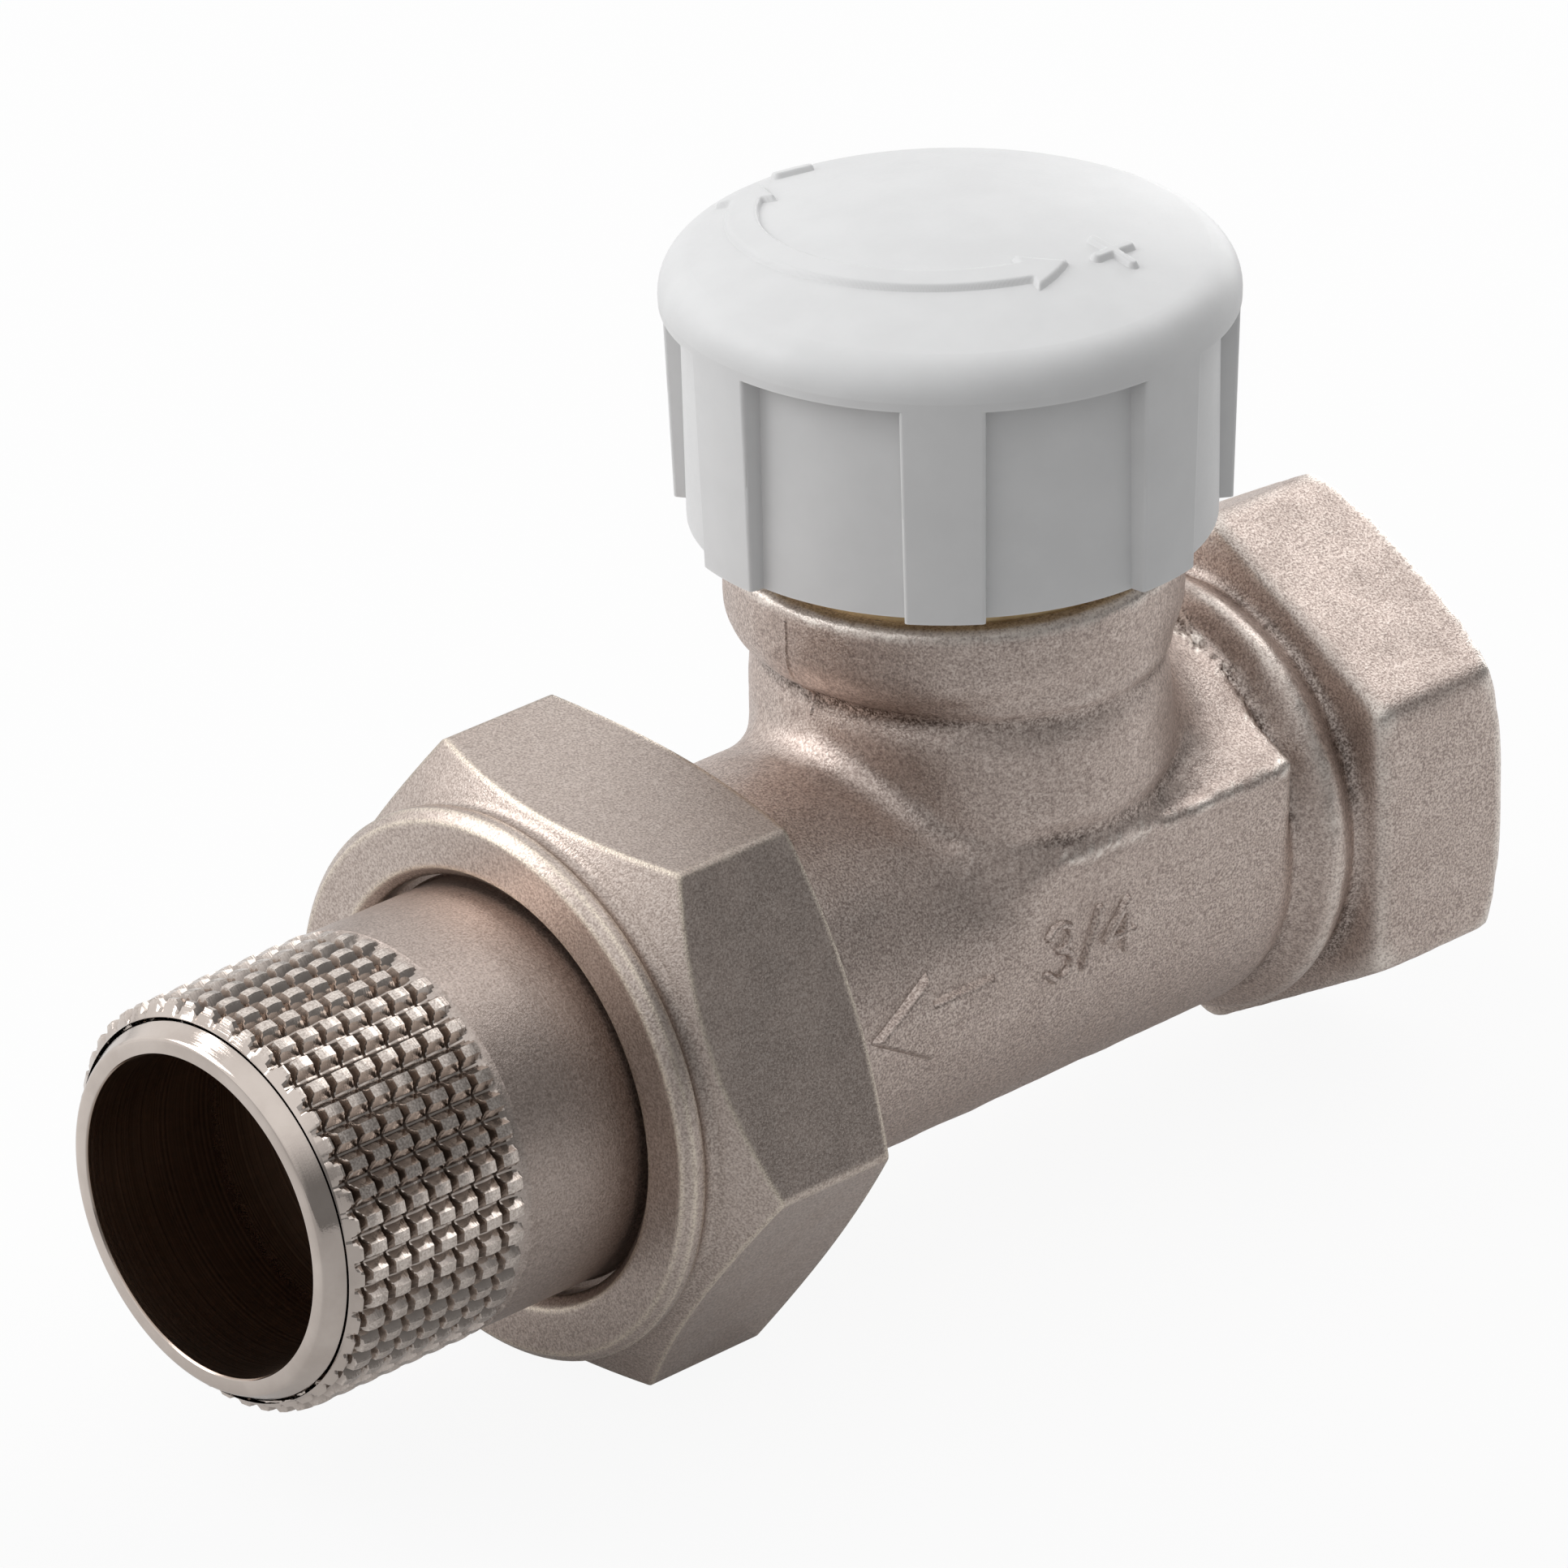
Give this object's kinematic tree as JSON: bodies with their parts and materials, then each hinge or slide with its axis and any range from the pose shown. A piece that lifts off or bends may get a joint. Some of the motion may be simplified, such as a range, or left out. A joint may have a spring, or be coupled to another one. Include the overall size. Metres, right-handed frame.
{
  "type": "straight radiator valve",
  "caption": "Straight radiator valve: forged body with hexagon inlet socket, screwed union tail and a ribbed hand cap that presses a sprung stem onto the seat.",
  "frame": {"origin": "centre of the inlet socket's end face, on the pipe's axis", "axes": "+X leaves the inlet socket along the pipe, +Z follows the stem up to the hand cap, -Y is the side with the flow marks"},
  "size_m": [0.0973, 0.042, 0.0648],
  "materials": {
    "nickel_forging": "sandblasted forging under matt nickel plate",
    "nickel_turned": "turned and nickel plated, satin",
    "turned_brass": "turned, bright",
    "stainless_steel": "ground",
    "spring_steel": "drawn wire",
    "black_rubber": "moulded, matt",
    "cap_plastic": "moulded, fine satin texture",
    "guide_plastic": "turned, matt"
  },
  "bodies": {
    "root": {"valve_body": "nickel_forging", "bonnet": "turned_brass", "bonnet_seal": "black_rubber", "gland_nut": "turned_brass", "gland_washer": "stainless_steel", "lower_stem_seal": "black_rubber", "upper_stem_seal": "black_rubber", "seal_spacer": "guide_plastic", "stem_guide": "guide_plastic", "return_spring": "spring_steel"},
    "stem": {"valve_stem": "stainless_steel", "actuating_pin": "stainless_steel", "stem_clip": "stainless_steel", "spring_cap": "stainless_steel", "disc_holder": "turned_brass", "seat_disc": "black_rubber", "disc_washer": "stainless_steel", "disc_nut": "turned_brass"},
    "cap": {"hand_cap": "cap_plastic"},
    "tail": {"tailpiece": "nickel_turned", "tail_seal": "black_rubber"},
    "nut": {"union_nut": "nickel_forging"}
  },
  "joints": [
    {"name": "stem_travel", "type": "slide", "parent": "root", "child": "stem", "axis": [0, 0, 1], "range_m": [-0.0015, 0.0015], "deforming": ["return_spring"]},
    {"name": "cap_turn", "type": "hinge", "parent": "stem", "child": "cap", "pos_m": [-0.0338, 0, 0.035], "axis": [0, 0, 1], "range_deg": [-360, 360]},
    {"name": "tail_slide", "type": "slide", "parent": "root", "child": "tail", "axis": [-1, 0, 0], "range_m": [0, 0.01039]},
    {"name": "nut_turn", "type": "hinge", "parent": "tail", "child": "nut", "pos_m": [-0.0664, 0, 0], "axis": [-1, 0, 0], "range_deg": [0, 1620]}
  ],
  "couplings": [
    {"joint": "stem_travel", "follows": "cap_turn", "m_per_rad": 0.00023873},
    {"joint": "tail_slide", "follows": "nut_turn", "m_per_rad": 0.00036749}
  ]
}
